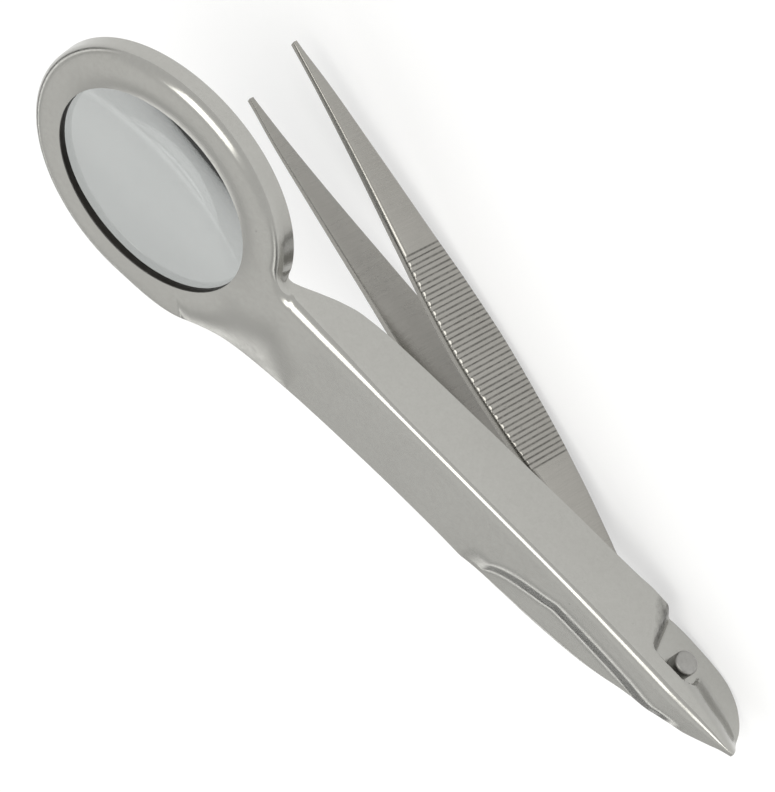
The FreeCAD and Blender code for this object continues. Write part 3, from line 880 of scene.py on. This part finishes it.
def steel(
    name, light, dark, rough, grain, fineness, depth, marks, shade_blots=(), cup=False, ridged=False,
):
    """Ground steel: brushed lines, soft smudges, small specks, and painted shade in blots, in the
    lens cup and between the grip ridges.
    """
    material = bpy.data.materials.new(name)
    material.use_nodes = True
    tree = material.node_tree
    shader = tree.nodes["Principled BSDF"]
    shader.inputs["Metallic"].default_value = 1.0
    place = tree.nodes.new("ShaderNodeTexCoord").outputs["Object"]
    lines = use(tree, BRUSHED, Vector=scaled(tree, place, grain), Fineness=fineness, Depth=depth)
    wear = use(tree, HANDLING, Vector=place, Amount=marks)
    tone = maths(tree, "MULTIPLY", lines.outputs["Lines"], 0.45)
    tone = maths(tree, "ADD", tone, maths(tree, "MULTIPLY", wear.outputs["Smudge"], 0.5), clamp=True)
    colour = mix_colour(tree, tone, light, dark)
    speck = tuple(c * 0.45 for c in dark)
    colour = mix_colour(tree, wear.outputs["Specks"], colour, speck)
    roughness = maths(tree, "ADD", rough, maths(tree, "MULTIPLY", wear.outputs["Smudge"], 0.1))
    roughness = maths(tree, "ADD", roughness, maths(tree, "MULTIPLY", lines.outputs["Lines"], 0.05))
    # Painted shade: dark blots where the ramp's foot would stand in shade.
    for centre, reach in shade_blots:
        blot = use(tree, SHADE_BLOT, Vector=place, Place=centre, Reach=reach)
        colour = mix_colour(tree, blot.outputs["Mask"], colour, SHADE_BLOT_TONE)
        roughness = maths(tree, "ADD", roughness, maths(tree, "MULTIPLY", blot.outputs["Mask"], 0.3))
    # Painted shade on the sight hole's wall and under the plate of the lens cup.
    if cup:
        shade = use(tree, CUP, Vector=place)
        colour = mix_colour(tree, shade.outputs["Mask"], colour, CUP_SHADE_TONE)
        roughness = maths(tree, "MULTIPLY_ADD", shade.outputs["Mask"], 0.35, roughness)
    # Painted shade on the steep flanks of the grip grooves.
    if ridged:
        facing = tree.nodes.new("ShaderNodeTexCoord").outputs["Normal"]
        flanks = use(tree, RIDGE_SHADE, Vector=place, Normal=facing)
        share = maths(tree, "MULTIPLY", flanks.outputs["Mask"], GROOVE_SHADE_SHARE)
        colour = mix_colour(tree, share, colour, GROOVE_SHADE_TONE)
    tree.links.new(colour, shader.inputs["Base Color"])
    tree.links.new(roughness, shader.inputs["Roughness"])
    bump = tree.nodes.new("ShaderNodeBump")
    bump.inputs["Strength"].default_value = BUMP_STRENGTH
    bump.inputs["Distance"].default_value = BUMP_REACH
    tree.links.new(lines.outputs["Height"], bump.inputs["Height"])
    tree.links.new(bump.outputs["Normal"], shader.inputs["Normal"])
    return material


def glass(name):
    material = bpy.data.materials.new(name)
    material.use_nodes = True
    tree = material.node_tree
    shader = tree.nodes["Principled BSDF"]
    shader.inputs["Transmission Weight"].default_value = 1.0
    shader.inputs["IOR"].default_value = 1.49
    place = tree.nodes.new("ShaderNodeTexCoord").outputs["Object"]
    wear = use(tree, HANDLING, Vector=place, Amount=0.5)
    # A greenish glass tint, darkened grey as painted shade seen through the lens.
    tint_and_shade, smudged_tint_and_shade = (0.47, 0.485, 0.48), (0.44, 0.455, 0.45)
    colour = mix_colour(tree, wear.outputs["Smudge"], tint_and_shade, smudged_tint_and_shade)
    tree.links.new(colour, shader.inputs["Base Color"])
    haze = maths(tree, "MULTIPLY_ADD", wear.outputs["Smudge"], 0.03, 0.01)
    tree.links.new(haze, shader.inputs["Roughness"])
    return material


def paint(obj, material):
    if obj.data.materials:
        for i in range(len(obj.data.materials)):
            obj.data.materials[i] = material
    else:
        obj.data.materials.append(material)


def on_frame(point):
    """A place given in the magnifier's own axes, in the row frame, in metres."""
    return tuple(into_row() @ (Vector(point) * MM))


# Three spots of painted shade at the foot of the ramp, in the frame's own axes.
SHADE_BLOT_SPOTS, SHADE_BLOT_REACH = [(3.4, -4.0, 0.2), (4.2, -4.0, -1.0), (5.0, -4.2, -2.2)], 1.6 * MM
EVEN_GRAIN, CROSS_GRAIN = (1.0, 1.0, 1.0), (1.0, 0.1, 0.04)

magnifier_frame = make_frame()
front_strip = make_strip("front_strip", True, ("butt_front", "arm_front"))
back_strip = make_strip("back_strip", False, ("butt_back", "arm_back"))
rivet_pin = make_rivet()
thrust_washer = make_washer()
lens_retainer = make_keeper()
magnifying_lens = make_lens()

paint(magnifier_frame, steel(
    "satin_pressed_steel", light=(0.43, 0.427, 0.405), dark=(0.375, 0.37, 0.35), rough=0.17,
    grain=EVEN_GRAIN, fineness=1600.0, depth=0.2, marks=0.5,
    shade_blots=[(on_frame(spot), SHADE_BLOT_REACH) for spot in SHADE_BLOT_SPOTS], cup=True,
))
strip_steel = steel(
    "cross_ground_spring_steel", light=(0.38, 0.37, 0.345), dark=(0.30, 0.292, 0.272), rough=0.22,
    grain=CROSS_GRAIN, fineness=5200.0, depth=1.0, marks=0.4, ridged=True,
)
paint(front_strip, strip_steel)
paint(back_strip, strip_steel)
pin_steel = steel(
    "cut_rivet_steel", light=(0.40, 0.395, 0.38), dark=(0.25, 0.245, 0.235), rough=0.3,
    grain=EVEN_GRAIN, fineness=3200.0, depth=1.0, marks=0.8,
)
paint(rivet_pin, pin_steel)
paint(thrust_washer, pin_steel)
paint(lens_retainer, steel(
    "blued_retainer_steel", light=(0.16, 0.155, 0.15), dark=(0.10, 0.097, 0.094), rough=0.35,
    grain=EVEN_GRAIN, fineness=2200.0, depth=0.6, marks=0.4,
))
paint(magnifying_lens, glass("ground_lens_glass"))


# ---------------------------------------------------------------- floor, light and camera
def plain(name, colour, rough):
    material = bpy.data.materials.new(name)
    material.use_nodes = True
    shader = material.node_tree.nodes["Principled BSDF"]
    shader.inputs["Base Color"].default_value = (*colour, 1)
    shader.inputs["Roughness"].default_value = rough
    return material


MIDDLE = (0.035, -0.002, 0.008)
FLOOR_SIZE, FLOOR_GAP = 3.0, 0.0002

deselect()
low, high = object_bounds()
bpy.ops.mesh.primitive_plane_add(size=FLOOR_SIZE, location=(MIDDLE[0], 0.0, low[2] - FLOOR_GAP))
floor = bpy.context.object
floor.name = "studio_floor"
pale_paper = plain("pale_paper", (0.5, 0.5, 0.5), 0.9)
glow = pale_paper.node_tree.nodes["Principled BSDF"]
glow.inputs["Emission Color"].default_value = (1.0, 1.0, 1.0, 1)
glow.inputs["Emission Strength"].default_value = 0.5
paint(floor, pale_paper)


def soft_box(name, place, towards, width, height, power, tint=(1, 1, 1)):
    deselect()
    bpy.ops.object.light_add(type="AREA", location=place)
    lamp = bpy.context.object
    lamp.name = name
    lamp.data.shape, lamp.data.size, lamp.data.size_y = "RECTANGLE", width, height
    lamp.data.energy, lamp.data.color = power, tint
    aim = Vector(towards) - Vector(place)
    lamp.rotation_euler = aim.to_track_quat("-Z", "Y").to_euler()
    return lamp


# How bright the back of the studio is, from the horizon (0) to overhead (1), and its even front.
SKY_BANDS = [
    (0.0, 0.1), (0.15, 0.1), (0.2, 2.0), (0.26, 2.0), (0.32, 0.55), (0.42, 0.62), (0.52, 0.98),
    (1.0, 1.0),
]
FRONT_TONE = (0.86, 0.86, 0.85)

world = bpy.data.worlds.new("studio")
bpy.context.scene.world = world
world.use_nodes = True
sky = world.node_tree
ways = sky.nodes.new("ShaderNodeSeparateXYZ")
sky.links.new(sky.nodes.new("ShaderNodeTexCoord").outputs["Generated"], ways.inputs["Vector"])
ramp = sky.nodes.new("ShaderNodeValToRGB")
sky.links.new(ways.outputs["Z"], ramp.inputs["Fac"])
stops = ramp.color_ramp.elements
for place, level in SKY_BANDS:
    stop = stops.new(place) if 0.0 < place < 1.0 else stops[0 if place == 0.0 else -1]
    stop.color = (level, level, level * 0.985, 1)
front = remap(sky, ways.outputs["Y"], -0.1, 0.25, 0.0, 1.0)
mixed = mix_colour(sky, front, FRONT_TONE, ramp.outputs["Color"])
sky.links.new(mixed, sky.nodes["Background"].inputs["Color"])
sky.nodes["Background"].inputs["Strength"].default_value = 1.0

soft_box(
    "key_softbox", place=(0.02, -0.44, 0.66), towards=MIDDLE, width=0.6, height=0.42, power=2.2,
    tint=(1.0, 0.99, 0.95),
)

camera_data = bpy.data.cameras.new("camera")
camera = bpy.data.objects.new("camera", camera_data)
bpy.context.scene.collection.objects.link(camera)
camera_data.lens = 142.8
camera_data.clip_start = 0.01
# The camera's place and its own three axes.
CAMERA_PLACE = (-0.0014, -0.2523, 0.1698)
right = Vector((-0.54036, -0.39354, -0.74373))
up = Vector((0.83184, -0.38294, -0.40175))
back = Vector((-0.1267, -0.83576, 0.53429))
turn = Matrix((right, up, back)).transposed().to_4x4()
camera.matrix_world = Matrix.Translation(CAMERA_PLACE) @ turn
bpy.context.scene.camera = camera
bpy.context.scene.view_settings.view_transform = "Standard"
